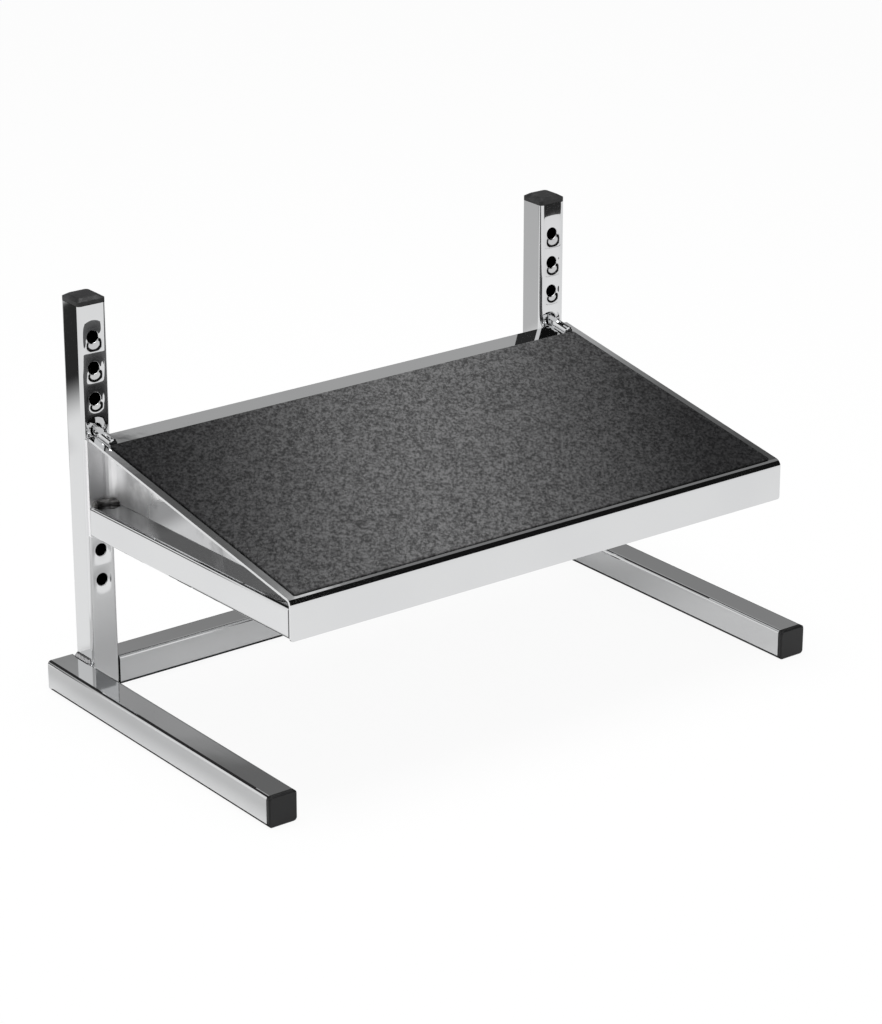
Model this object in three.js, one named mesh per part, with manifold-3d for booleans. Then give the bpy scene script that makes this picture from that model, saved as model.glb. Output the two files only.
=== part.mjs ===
// A footrest for under a desk: two square steel posts on floor rails, and a sloping foot plate on two
// arms. The plate hangs by two bent rods in a row of holes in the posts. Raising the front of the plate
// turns the rods out of their holes, and the plate is then hung again in a higher or lower pair.
//
// Millimetres. +X is to the right, +Y to the back and +Z up. The origin is on the floor, in the middle
// of the rectangle that the floor rails and their end plugs fill.

import * as THREE from 'three';
import { mergeVertices } from 'three/addons/utils/BufferGeometryUtils.js';
import Module from 'manifold-3d';

const wasm = await Module();
wasm.setup();

// Frame
const overallWidth = 533.4;
const tubeSide = 25.4;
const tubeWall = 1.6;
const tubeCorner = 3;
const railFrontReach = 283;
const railBackReach = 27;
const postHeight = 325;

// Row of holes in the front wall of each post
const holeCount = 9;
const holePitch = 25.4;
const topHoleDrop = 26.5;
const holeRadius = 5.16;
const dishRadius = 9.4;
const dishDepth = 1.1;
const holeInUse = 3;

// Hook rods
const rodRadius = 3.97;
const rodEndRounding = 0.8;
const hookBendRadius = 12;
const hookBendAngle = THREE.MathUtils.degToRad(60);

// Foot plate, its front lip and the mat
const plateSideInset = 1.2;
const plateSheet = 2;
const platePitch = THREE.MathUtils.degToRad(9.5);
const plateRearSetback = 6.4;
const plateFrontReach = 280;
const rodAbovePlate = 1.2;
const foldRadius = 5.8;
const lipHeight = 32.6;
const lipCorner = 2;
const slotCorner = 1.2;
const matSheet = 1.2;
const matSideInset = 7.6;
const matRearInset = 18.2;
const matFrontInset = 5.4;
const matCorner = 1.6;
const matEdgeRounding = 0.4;

// Arms and side brackets
const armDepthBelowPlate = 58.2;
const armPitch = THREE.MathUtils.degToRad(1.25);
const bracketSheet = 3.2;
const bracketBend = 9;
const bracketNoseHeight = 2.5;

// Plastic caps and plugs
const plugHead = 4;
const plugEdge = 1.2;
const plugEdgeDrop = 0.4;
const plugStem = 14;
const stemWall = 2.6;
const ribCount = 3;
const ribHeight = 1.4;
const ribDepth = 0.8;
const capHead = 3.6;
const capSlope = 2.2;
const capSlopeInset = 3.4;
const capCrown = 0.3;
const capCrownInset = 8;

// Weld beads
const weldLeg = 3.2;
const weldBulge = 0.6;

// Clearances and drawing steps
const seatGap = 0.3;
const overrun = 1;
const cornerSteps = 3;
const holeSteps = 24;
const rodSteps = 20;
const bendSteps = 12;
const edgeSteps = 2;
const dishSteps = 3;

// Places that follow from the sizes above
const halfSide = tubeSide / 2;
const railX = overallWidth / 2 - halfSide;
const postX = railX - tubeSide - seatGap;
const footprintShift = (railFrontReach + plugHead - railBackReach) / 2;
const holeInUseZ = postHeight - topHoleDrop - holeInUse * holePitch;
const rodZ = holeInUseZ - (holeRadius - rodRadius - seatGap);
const plateRearTop = rodZ - rodAbovePlate - plateRearSetback * Math.tan(platePitch);
const armTopRear = plateRearTop - armDepthBelowPlate;
const plateWidth = 2 * (postX + halfSide - plateSideInset);
const armX = plateWidth / 2 - halfSide;
const strapFrontY = -seatGap - bracketSheet;
const lipRearY = -plateFrontReach + plateSheet;
const foldY = -plateFrontReach + foldRadius;

// Heights, at a distance y from the posts' front faces, of the faces that other pieces follow
const plateTopAt = (y) => plateRearTop + (y + plateRearSetback) * Math.tan(platePitch);
const plateUndersideAt = (y) => plateTopAt(y) - plateSheet / Math.cos(platePitch);
const armTopAt = (y) => armTopRear - (y - strapFrontY) * Math.tan(armPitch);

const chrome = { color: 0xd4d7d9, roughness: 0.08, metalness: 1 };
const finishes = {
  tubing: chrome,
  sheet: { ...chrome, roughness: 0.12 },
  rod: { ...chrome, roughness: 0.15 },
  weld: { ...chrome, roughness: 0.3 },
  plastic: { color: 0x16171a, roughness: 0.5, metalness: 0 },
  mat: { color: 0x2a2b2d, roughness: 0.95, metalness: 0 },
};

// Closed solids for cutting and joining

function toSolid(geometry) {
  const bare = geometry.clone();
  bare.deleteAttribute('normal');
  bare.deleteAttribute('uv');
  const merged = mergeVertices(bare);
  const vertProperties = new Float32Array(merged.attributes.position.array);
  const triVerts = new Uint32Array(merged.index.array);
  return new wasm.Manifold(new wasm.Mesh({ numProp: 3, vertProperties, triVerts }));
}

function toGeometry(solid) {
  const mesh = solid.getMesh();
  const geometry = new THREE.BufferGeometry();
  geometry.setAttribute('position', new THREE.BufferAttribute(mesh.vertProperties, 3));
  geometry.setIndex(new THREE.BufferAttribute(mesh.triVerts, 1));
  geometry.computeVertexNormals();
  return geometry;
}

// The same body seen in a mirror across X = 0, with its faces still pointing out
function mirrored(geometry) {
  const copy = geometry.clone().scale(-1, 1, 1);
  const corners = copy.index ? copy.index.array.slice() : [...Array(copy.attributes.position.count).keys()];
  for (let i = 0; i < corners.length; i += 3) {
    [corners[i], corners[i + 1]] = [corners[i + 1], corners[i]];
  }
  copy.setIndex(Array.from(corners));
  return copy;
}

// Outlines and basic bodies

function squareOutline(width, height, corner) {
  const halfWidth = width / 2;
  const halfHeight = height / 2;
  const outline = new THREE.Shape();
  outline.absarc(halfWidth - corner, halfHeight - corner, corner, 0, Math.PI / 2);
  outline.absarc(corner - halfWidth, halfHeight - corner, corner, Math.PI / 2, Math.PI);
  outline.absarc(corner - halfWidth, corner - halfHeight, corner, Math.PI, -Math.PI / 2);
  outline.absarc(halfWidth - corner, corner - halfHeight, corner, -Math.PI / 2, 0);
  return outline;
}

function extruded(outline, depth) {
  return new THREE.ExtrudeGeometry(outline, { depth, bevelEnabled: false, curveSegments: cornerSteps });
}

// An outline drawn with Y across and Z up, swept along X from one place to another
function sweptAcross(outline, fromX, toX) {
  const geometry = extruded(outline, toX - fromX);
  geometry.rotateX(Math.PI / 2);
  geometry.rotateZ(Math.PI / 2);
  return geometry.translate(fromX, 0, 0);
}

// A square tube that stands on the floor plane and rises along +Z
function squareTube(length) {
  const outline = squareOutline(tubeSide, tubeSide, tubeCorner);
  const bore = tubeSide - 2 * tubeWall;
  outline.holes.push(squareOutline(bore, bore, tubeCorner - tubeWall));
  return extruded(outline, length);
}

// Rounded squares of several sizes stacked along +Z and skinned over, as a moulded plug is
function stackedSquares(levels) {
  const rings = levels.map(({ side, corner, at }) => {
    const points = squareOutline(side, side, corner).getPoints(cornerSteps).slice(0, -1);
    return points.map((point) => new THREE.Vector3(point.x, point.y, at));
  });
  const count = rings[0].length;
  const places = rings.flat();
  const bottom = places.push(new THREE.Vector3(0, 0, levels[0].at)) - 1;
  const top = places.push(new THREE.Vector3(0, 0, levels[levels.length - 1].at)) - 1;
  const lastRing = (rings.length - 1) * count;
  const triangles = [];
  for (let i = 0; i < count; i += 1) {
    const next = (i + 1) % count;
    triangles.push(bottom, next, i);
    triangles.push(top, lastRing + i, lastRing + next);
    for (let ring = 0; ring < lastRing; ring += count) {
      triangles.push(ring + i, ring + next, ring + count + i);
      triangles.push(ring + next, ring + count + next, ring + count + i);
    }
  }
  const geometry = new THREE.BufferGeometry().setFromPoints(places);
  geometry.setIndex(triangles);
  geometry.computeVertexNormals();
  return geometry;
}

// Frame pieces

// The drill for one hole, along +Y. It hollows the face to a shallow dish whose wall steepens to the hole
function drill() {
  const dishWidth = dishRadius - holeRadius;
  const curve = (dishWidth ** 2 + dishDepth ** 2) / (2 * dishDepth);
  const steepest = Math.asin(dishWidth / curve);
  const profile = [new THREE.Vector2(0, -overrun), new THREE.Vector2(dishRadius + overrun, -overrun)];
  for (let i = 0; i <= dishSteps; i += 1) {
    const slope = (steepest * i) / dishSteps;
    profile.push(new THREE.Vector2(dishRadius - curve * Math.sin(slope), curve * (1 - Math.cos(slope))));
  }
  profile.push(new THREE.Vector2(holeRadius, tubeWall + overrun), new THREE.Vector2(0, tubeWall + overrun));
  return new THREE.LatheGeometry(profile, holeSteps);
}

// The post's front face is turned to -Y
function post() {
  let body = toSolid(squareTube(postHeight));
  const cutter = drill();
  for (let hole = 0; hole < holeCount; hole += 1) {
    const height = postHeight - topHoleDrop - hole * holePitch;
    body = body.subtract(toSolid(cutter.clone().translate(0, -halfSide, height)));
  }
  return toGeometry(body);
}

function ribbedStem(levels, bore, length) {
  const core = bore - 2 * stemWall;
  const rib = bore - 2 * seatGap;
  const pitch = length / (ribCount + 1);
  const corner = tubeCorner - tubeWall;
  for (let i = 0; i < ribCount; i += 1) {
    const at = -length + (i + 1) * pitch - ribHeight;
    levels.push({ side: core, corner, at });
    levels.push({ side: rib, corner, at: at + ribDepth });
    levels.push({ side: rib, corner, at: at + ribHeight });
    levels.push({ side: core, corner, at: at + ribHeight + ribDepth });
  }
}

// A plug whose head lies on the tube's end at z = 0 and whose ribbed stem goes down into the bore
function plug(headLevels) {
  const bore = tubeSide - 2 * tubeWall;
  const core = bore - 2 * stemWall;
  const corner = tubeCorner - tubeWall;
  const levels = [{ side: core, corner, at: -plugStem }];
  ribbedStem(levels, bore, plugStem);
  levels.push({ side: core, corner, at: seatGap });
  levels.push(...headLevels);
  return stackedSquares(levels);
}

function railPlug() {
  return plug([
    { side: tubeSide, corner: tubeCorner, at: seatGap },
    { side: tubeSide, corner: tubeCorner, at: plugHead - plugEdge },
    { side: tubeSide - plugEdge, corner: tubeCorner, at: plugHead - plugEdgeDrop },
    { side: tubeSide - 2 * plugEdge, corner: tubeCorner, at: plugHead },
  ]);
}

function postCap() {
  const slopeTop = capHead + capSlope;
  return plug([
    { side: tubeSide, corner: tubeCorner, at: seatGap },
    { side: tubeSide, corner: tubeCorner, at: capHead },
    { side: tubeSide - 2 * capSlopeInset, corner: tubeCorner, at: slopeTop },
    { side: tubeSide - 2 * capCrownInset, corner: tubeCorner, at: slopeTop + capCrown },
  ]);
}

// The closure at a rail's back end, pushed in until it is level with the tube's end
function insetPlug() {
  const bore = tubeSide - 2 * tubeWall;
  const face = bore - 2 * seatGap;
  const corner = tubeCorner - tubeWall;
  const levels = [{ side: bore - 2 * stemWall, corner, at: -plugStem }];
  ribbedStem(levels, bore, plugStem - ribHeight - ribDepth);
  levels.push({ side: bore - 2 * stemWall, corner, at: -ribHeight - ribDepth });
  levels.push({ side: face, corner, at: -ribHeight });
  levels.push({ side: face, corner, at: 0 });
  return stackedSquares(levels);
}

// The bead in the groove between a rail's rounded top edge and the left post's outer face
function railWeld() {
  const grooveRadius = tubeCorner + seatGap;
  const bulge = weldLeg / 2 + weldBulge;
  const bead = new THREE.Shape();
  bead.moveTo(-seatGap, weldLeg);
  bead.quadraticCurveTo(-bulge, bulge, -weldLeg, seatGap);
  bead.lineTo(-grooveRadius, seatGap);
  const grooveEnd = Math.acos(tubeCorner / grooveRadius);
  bead.absarc(-grooveRadius, -tubeCorner, grooveRadius, Math.PI / 2, grooveEnd, true);
  bead.closePath();
  return extruded(bead, tubeSide - 2 * tubeCorner);
}

// Platform pieces

// The sheet seen from the side: the sloping top, the fold and the upright front lip
function plateProfile() {
  const foldTurn = Math.PI / 2 - platePitch;
  const innerFold = foldRadius - plateSheet;
  const foldZ = plateTopAt(foldY) - foldRadius / Math.cos(platePitch);
  const lipBottom = plateTopAt(-plateFrontReach) - lipHeight;
  const slopeDirection = Math.PI / 2 + platePitch;
  const profile = new THREE.Shape();
  profile.moveTo(-plateRearSetback, plateUndersideAt(-plateRearSetback));
  profile.lineTo(-plateRearSetback, plateTopAt(-plateRearSetback));
  profile.absarc(foldY, foldZ, foldRadius, slopeDirection, slopeDirection + foldTurn);
  profile.lineTo(-plateFrontReach, lipBottom);
  profile.lineTo(lipRearY, lipBottom);
  profile.absarc(foldY, foldZ, innerFold, slopeDirection + foldTurn, slopeDirection, true);
  profile.closePath();
  return profile;
}

// The plate's outline from the front, with the lip's lower corners rounded
function lipOutline() {
  const lowest = plateTopAt(-plateFrontReach) - lipHeight;
  const highest = plateRearTop + overrun;
  const halfWidth = plateWidth / 2;
  const outline = new THREE.Shape();
  outline.moveTo(halfWidth, highest);
  outline.lineTo(-halfWidth, highest);
  outline.absarc(lipCorner - halfWidth, lowest + lipCorner, lipCorner, Math.PI, -Math.PI / 2);
  outline.absarc(halfWidth - lipCorner, lowest + lipCorner, lipCorner, -Math.PI / 2, 0);
  outline.closePath();
  return outline;
}

// A rod's front end, and the front end of the slot that it lies in
const rodFrontY = -plateRearSetback - matRearInset * Math.cos(platePitch) + seatGap;
const slotFrontY = rodFrontY - seatGap;

function topPlate() {
  const sheet = toSolid(sweptAcross(plateProfile(), -plateWidth / 2, plateWidth / 2));
  const frontView = extruded(lipOutline(), plateFrontReach + overrun).rotateX(Math.PI / 2);
  let plate = sheet.intersect(toSolid(frontView));
  const slotWidth = 2 * (rodRadius + seatGap);
  const slotLength = -plateRearSetback - slotFrontY + slotCorner + overrun;
  const slot = extruded(squareOutline(slotWidth, slotLength, slotCorner), plateRearTop + overrun);
  for (const x of [-postX, postX]) {
    plate = plate.subtract(toSolid(slot.clone().translate(x, slotFrontY + slotLength / 2, 0)));
  }
  return toGeometry(plate);
}

// The mat is drawn flat, with its back edge on y = 0, and laid on the slope by its mesh's rotation
const matLength = (plateFrontReach - plateRearSetback) / Math.cos(platePitch) - matRearInset - matFrontInset;
const matWidth = plateWidth - 2 * matSideInset;

function mat() {
  const outline = squareOutline(matWidth - 2 * matEdgeRounding, matLength - 2 * matEdgeRounding, matCorner);
  const body = new THREE.ExtrudeGeometry(outline, {
    depth: matSheet - 2 * matEdgeRounding,
    bevelThickness: matEdgeRounding,
    bevelSize: matEdgeRounding,
    bevelSegments: edgeSteps,
    curveSegments: cornerSteps,
  });
  return body.translate(0, -matLength / 2, matEdgeRounding);
}

// An arm runs from its bracket's strap to the back of the front lip, and rises a little to the front
function arm() {
  const length = strapFrontY - seatGap - (lipRearY + seatGap);
  const tube = squareTube(length).rotateX(Math.PI / 2);
  const rise = new THREE.Matrix4().makeShear(0, 0, 0, -Math.tan(armPitch), 0, 0);
  return tube.applyMatrix4(rise);
}

// The left bracket, one bent sheet: a strap flat against the post, a bend, and a web that stands on the
// arm's inner edge and tapers to the front under the plate
function sideBracket() {
  const outerX = -plateWidth / 2;
  const webInnerX = outerX + tubeSide;
  const webOuterX = webInnerX - bracketSheet;
  const strapInnerX = webOuterX - bracketBend;
  const outerBend = bracketBend + bracketSheet;
  const bendY = strapFrontY - bracketBend;
  const noseY = foldY + webNoseSetback();
  const strapTop = rodZ + strapFrontY * Math.tan(platePitch) - rodRadius / Math.cos(platePitch) - seatGap;
  const strapFoot = armTopAt(strapFrontY) - tubeSide;

  const plan = new THREE.Shape();
  plan.moveTo(outerX, -seatGap);
  plan.lineTo(strapInnerX, -seatGap);
  plan.absarc(strapInnerX, bendY, outerBend, Math.PI / 2, 0, true);
  plan.lineTo(webInnerX, noseY);
  plan.lineTo(webOuterX, noseY);
  plan.absarc(strapInnerX, bendY, bracketBend, 0, Math.PI / 2);
  plan.lineTo(outerX, strapFrontY);
  plan.closePath();
  const bentSheet = toSolid(extruded(plan, strapTop - strapFoot).translate(0, 0, strapFoot));

  const webTopAt = (y) => plateUndersideAt(y) - seatGap / Math.cos(platePitch);
  const underPlate = new THREE.Shape();
  const levelY = -plateRearSetback + (strapTop - webTopAt(-plateRearSetback)) / Math.tan(platePitch);
  underPlate.moveTo(overrun, strapFoot - overrun);
  underPlate.lineTo(overrun, strapTop + overrun);
  underPlate.lineTo(levelY, strapTop + overrun);
  underPlate.lineTo(levelY, strapTop);
  underPlate.lineTo(noseY - overrun, webTopAt(noseY - overrun));
  underPlate.lineTo(noseY - overrun, strapFoot - overrun);
  underPlate.closePath();
  const sideView = toSolid(sweptAcross(underPlate, outerX - overrun, webInnerX + overrun));

  const besideArm = new THREE.Shape();
  besideArm.moveTo(overrun, strapFoot - overrun);
  besideArm.lineTo(overrun, armTopAt(overrun) + seatGap);
  besideArm.lineTo(noseY - overrun, armTopAt(noseY - overrun) + seatGap);
  besideArm.lineTo(noseY - overrun, strapFoot - overrun);
  besideArm.closePath();
  const armRoom = toSolid(sweptAcross(besideArm, strapInnerX, webInnerX + overrun));

  return toGeometry(bentSheet.intersect(sideView).subtract(armRoom));
}

// The web stops short of the fold, where its height has come down to the height of its nose
function webNoseSetback() {
  const heightAtFold = plateUndersideAt(foldY) - armTopAt(foldY) - 2 * seatGap;
  const shortfall = Math.max(bracketNoseHeight - heightAtFold, 0);
  return shortfall / (Math.tan(platePitch) + Math.tan(armPitch));
}

// A round rod lies along the plate in its slot, goes on into the post and turns up inside. The turned end
// is an arc about the axis that the platform is lifted round, so it slides through its hole.
const hookAxisY = -seatGap - hookBendRadius * Math.sin(platePitch);
const hookAxisZ = rodZ - seatGap * Math.tan(platePitch) + hookBendRadius * Math.cos(platePitch);

function hookRod() {
  const straightAt = (y, radius) => ({ y, z: rodZ + y * Math.tan(platePitch), turn: platePitch, radius });
  const stations = [
    straightAt(rodFrontY, rodRadius - rodEndRounding),
    straightAt(rodFrontY + rodEndRounding, rodRadius),
  ];
  for (let i = 0; i <= bendSteps; i += 1) {
    const turn = platePitch + ((hookBendAngle - platePitch) * i) / bendSteps;
    stations.push({
      y: hookAxisY + hookBendRadius * Math.sin(turn),
      z: hookAxisZ - hookBendRadius * Math.cos(turn),
      turn,
      radius: rodRadius,
    });
  }
  const first = stations[0];
  const last = stations[stations.length - 1];
  last.radius = rodRadius - rodEndRounding;
  const places = [];
  const triangles = [];
  stations.forEach(({ y, z, turn, radius }, station) => {
    for (let i = 0; i < rodSteps; i += 1) {
      const around = (2 * Math.PI * i) / rodSteps;
      const across = radius * Math.cos(around);
      const up = radius * Math.sin(around);
      places.push(new THREE.Vector3(across, y - up * Math.sin(turn), z + up * Math.cos(turn)));
      if (station > 0) {
        const next = (i + 1) % rodSteps;
        const here = station * rodSteps;
        const before = here - rodSteps;
        triangles.push(before + i, here + i, before + next);
        triangles.push(before + next, here + i, here + next);
      }
    }
  });
  const frontCentre = places.push(new THREE.Vector3(0, first.y, first.z)) - 1;
  const tipCentre = places.push(new THREE.Vector3(0, last.y, last.z)) - 1;
  const lastRing = (stations.length - 1) * rodSteps;
  for (let i = 0; i < rodSteps; i += 1) {
    const next = (i + 1) % rodSteps;
    triangles.push(frontCentre, i, next);
    triangles.push(tipCentre, lastRing + next, lastRing + i);
  }
  const geometry = new THREE.BufferGeometry().setFromPoints(places);
  geometry.setIndex(triangles);
  geometry.computeVertexNormals();
  return geometry;
}

// Assembly

function piece(parent, name, geometry, finish) {
  const mesh = new THREE.Mesh(geometry, new THREE.MeshStandardMaterial(finishes[finish]));
  mesh.name = name;
  parent.add(mesh);
  return mesh;
}

const footrest = new THREE.Group();
footrest.position.y = footprintShift;
const frame = new THREE.Group();
const platform = new THREE.Group();
footrest.add(frame, platform);

const sides = [
  { name: 'left', sign: -1, handed: (geometry) => geometry },
  { name: 'right', sign: 1, handed: mirrored },
];

for (const { name, sign, handed } of sides) {
  const rail = piece(frame, `${name}_base_rail`, squareTube(railFrontReach + railBackReach), 'tubing');
  rail.rotation.x = Math.PI / 2;
  rail.position.set(sign * railX, railBackReach, halfSide);

  const frontPlug = piece(frame, `${name}_rail_front_plug`, railPlug(), 'plastic');
  frontPlug.rotation.x = Math.PI / 2;
  frontPlug.position.set(sign * railX, -railFrontReach, halfSide);

  const rearPlug = piece(frame, `${name}_rail_rear_plug`, insetPlug(), 'plastic');
  rearPlug.rotation.x = -Math.PI / 2;
  rearPlug.position.set(sign * railX, railBackReach, halfSide);

  const upright = piece(frame, `${name}_upright`, post(), 'tubing');
  upright.position.set(sign * postX, halfSide, 0);

  const cap = piece(frame, `${name}_upright_cap`, postCap(), 'plastic');
  cap.position.set(sign * postX, halfSide, postHeight);

  const weld = piece(frame, `${name}_rail_weld`, handed(railWeld()), 'weld');
  weld.rotation.x = Math.PI / 2;
  weld.position.set(sign * (postX + halfSide), tubeSide - tubeCorner, tubeSide);

  const sideArm = piece(platform, `${name}_arm`, arm(), 'tubing');
  sideArm.position.set(sign * armX, strapFrontY - seatGap, armTopAt(strapFrontY - seatGap) - halfSide);

  piece(platform, `${name}_side_bracket`, handed(sideBracket()), 'sheet');

  const rod = piece(platform, `${name}_hook_rod`, hookRod(), 'rod');
  rod.position.x = sign * postX;
}

const crossbar = piece(frame, 'crossbar', squareTube(2 * (postX - halfSide - seatGap)), 'tubing');
crossbar.rotation.y = Math.PI / 2;
crossbar.position.set(-(postX - halfSide - seatGap), halfSide, halfSide);

piece(platform, 'top_plate', topPlate(), 'sheet');

const matSheetMesh = piece(platform, 'anti_slip_mat', mat(), 'mat');
const matBackY = -plateRearSetback - matRearInset * Math.cos(platePitch) - seatGap * Math.sin(platePitch);
const matBackZ = plateTopAt(-plateRearSetback - matRearInset * Math.cos(platePitch));
matSheetMesh.rotation.x = platePitch;
matSheetMesh.position.set(0, matBackY, matBackZ + seatGap * Math.cos(platePitch));

export default footrest;
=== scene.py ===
from math import atan2, cos, hypot, radians, sin, sqrt

import bmesh
import bpy
from mathutils import Matrix, Vector, noise


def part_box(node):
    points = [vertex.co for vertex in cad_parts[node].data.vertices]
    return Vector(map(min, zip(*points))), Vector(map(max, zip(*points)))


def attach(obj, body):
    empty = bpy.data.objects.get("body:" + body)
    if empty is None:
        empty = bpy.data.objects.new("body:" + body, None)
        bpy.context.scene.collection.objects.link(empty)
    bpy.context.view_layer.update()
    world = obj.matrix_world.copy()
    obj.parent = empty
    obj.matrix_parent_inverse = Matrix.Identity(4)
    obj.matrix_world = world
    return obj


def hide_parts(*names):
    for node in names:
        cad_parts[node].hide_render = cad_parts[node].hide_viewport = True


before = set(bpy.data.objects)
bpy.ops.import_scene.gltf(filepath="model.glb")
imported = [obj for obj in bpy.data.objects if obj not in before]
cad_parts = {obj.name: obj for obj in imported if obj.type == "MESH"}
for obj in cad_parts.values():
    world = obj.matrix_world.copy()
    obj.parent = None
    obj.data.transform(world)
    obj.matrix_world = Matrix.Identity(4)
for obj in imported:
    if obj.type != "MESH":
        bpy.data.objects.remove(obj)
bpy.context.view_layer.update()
mm = 0.001
print("frame loaded:", len(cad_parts), "nodes")


# Shader graphs

class Wire:  # one socket that takes part in ordinary sums
    def __init__(self, graph, socket):
        self.graph = graph
        self.socket = socket

    def __add__(self, other):
        return self.graph.maths("ADD", self, other)

    def __radd__(self, other):
        return self.graph.maths("ADD", other, self)

    def __sub__(self, other):
        return self.graph.maths("SUBTRACT", self, other)

    def __rsub__(self, other):
        return self.graph.maths("SUBTRACT", other, self)

    def __mul__(self, other):
        return self.graph.maths("MULTIPLY", self, other)

    def __rmul__(self, other):
        return self.graph.maths("MULTIPLY", other, self)


class Graph:  # the node tree of a material or of the world
    def __init__(self, owner):
        owner.use_nodes = True
        self.tree = owner.node_tree
        self.tree.nodes.clear()

    # a node by its type; settings come first, then its sockets by name or number
    def node(self, kind, settings=None, sockets=None):
        made = self.tree.nodes.new(kind)
        for name, value in (settings or {}).items():
            if name == "stops":
                ramp = made.color_ramp
                while len(ramp.elements) < len(value):
                    ramp.elements.new(0.5)  # its own place is set below
                for element, (place, shade) in zip(ramp.elements, value):
                    element.position = place
                    element.color = (shade, shade, shade, 1)
            else:
                setattr(made, name, value)
        for name, value in (sockets or {}).items():
            self.feed(made.inputs[name], value)
        return made

    def feed(self, socket, value):
        if isinstance(value, Wire):
            self.tree.links.new(value.socket, socket)
        elif socket.type == "RGBA":
            socket.default_value = (*value, 1)
        else:
            socket.default_value = value

    def wire(self, kind, output, settings=None, sockets=None):
        return Wire(self, self.node(kind, settings, sockets).outputs[output])

    def maths(self, operation, *values):
        return self.wire("ShaderNodeMath", 0, {"operation": operation}, dict(enumerate(values)))

    def vectors(self, operation, *values):
        return self.wire("ShaderNodeVectorMath", 0, {"operation": operation}, dict(enumerate(values)))

    def axes(self, vector):  # how far it goes across, back and up
        parts = self.node("ShaderNodeSeparateXYZ", None, {0: vector})
        return [Wire(self, output) for output in parts.outputs]

    def stepUp(self, value, low, high):  # 0 below low, 1 above high, smooth between
        sockets = {"Value": value, "From Min": low, "From Max": high}
        return self.wire("ShaderNodeMapRange", 0, {"interpolation_type": "SMOOTHSTEP"}, sockets)

    def stepDown(self, value, low, high):  # 1 below low, 0 above high
        return 1 - self.stepUp(value, low, high)

    def between(self, value, low, high, soft):  # 1 from low to high, with soft ends inside them
        return self.stepUp(value, low, low + soft) * self.stepDown(value, high - soft, high)

    def blend(self, share, first, second):  # colours, by the Mix node's own numbers for its sockets
        return self.wire("ShaderNodeMix", 2, {"data_type": "RGBA"}, {0: share, 6: first, 7: second})

    def paint(self, under, share, shade):  # a plain grey over a colour
        return self.blend(share, under, (shade, shade, shade))

    def mixShaders(self, share, first, second):
        return self.wire("ShaderNodeMixShader", 0, None, {0: share, 1: first, 2: second})

    def place(self, stretch=(1, 1, 1)):  # the surface's own coordinates, in metres
        spot = self.wire("ShaderNodeTexCoord", "Object")
        return self.wire("ShaderNodeMapping", 0, None, {"Vector": spot, "Scale": stretch})

    def noise(self, spot, scale, detail, roughness=0.5):
        sockets = {"Vector": spot, "Scale": scale, "Detail": detail, "Roughness": roughness}
        return self.wire("ShaderNodeTexNoise", "Fac", None, sockets)

    def bump(self, height, depth, strength=1.0, normal=None):
        sockets = {"Height": height, "Distance": depth, "Strength": strength}
        if normal is not None:
            sockets["Normal"] = normal
        return self.wire("ShaderNodeBump", 0, None, sockets)

    def surface(self, **sockets):
        names = {name.replace("_", " "): value for name, value in sockets.items()}
        shader = self.wire("ShaderNodeBsdfPrincipled", 0, None, names)
        self.node("ShaderNodeOutputMaterial", None, {"Surface": shader})


def newMaterial(name):
    material = bpy.data.materials.new(name)
    return material, Graph(material)


# Finishes. A pair of numbers is where a soft edge starts and ends, and each noise is its scale, its detail
# and, where it needs one, its roughness.

plating = {
    "colour": (0.70, 0.705, 0.71),
    "roughness": 0.02,
    "hazeNoise": (9, 3),  # faint haze from handling
    "hazeFrom": (0.42, 0.75),
    "hazeColour": (0.66, 0.665, 0.675),
    "hazeShare": 0.5,
    "hazeRoughness": 0.04,
    "speckNoise": (900, 1),  # dust and pin marks
    "speckFrom": (0.74, 0.8),
    "speckShare": 0.4,
    "speckRoughness": 0.1,
    "waveNoise": (22, 1.5),
    "dentNoise": (110, 1),
    "dentShare": 0.12,
    "relief": 0.06 * mm,
    "insideShadeColour": (0.035, 0.034, 0.033),  # the bare inside of a post, painted near black as the shade inside the tube
    "insideRoughness": 0.4,
    "insideAcross": (216.4 * mm, 240.2 * mm),  # from the middle of the footrest to either side
    "insideBack": (132.6 * mm, 154.6 * mm),
    "insideEdge": 0.2 * mm,
    "armTopShadeColour": (0.33, 0.333, 0.336),  # painted shade on the top of an arm beside the web, towards the back
    "armTopShadeFacing": (0.9, 0.97),
    "armTopShadeFrom": (0.035, 0.07),
    "jointShadeColour": (0.09, 0.09, 0.095),  # the joint line at an arm's front end: a dark seam with painted shade in it
    "jointRoughness": 0.3,
    "jointLength": 0.8 * mm,
}
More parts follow.
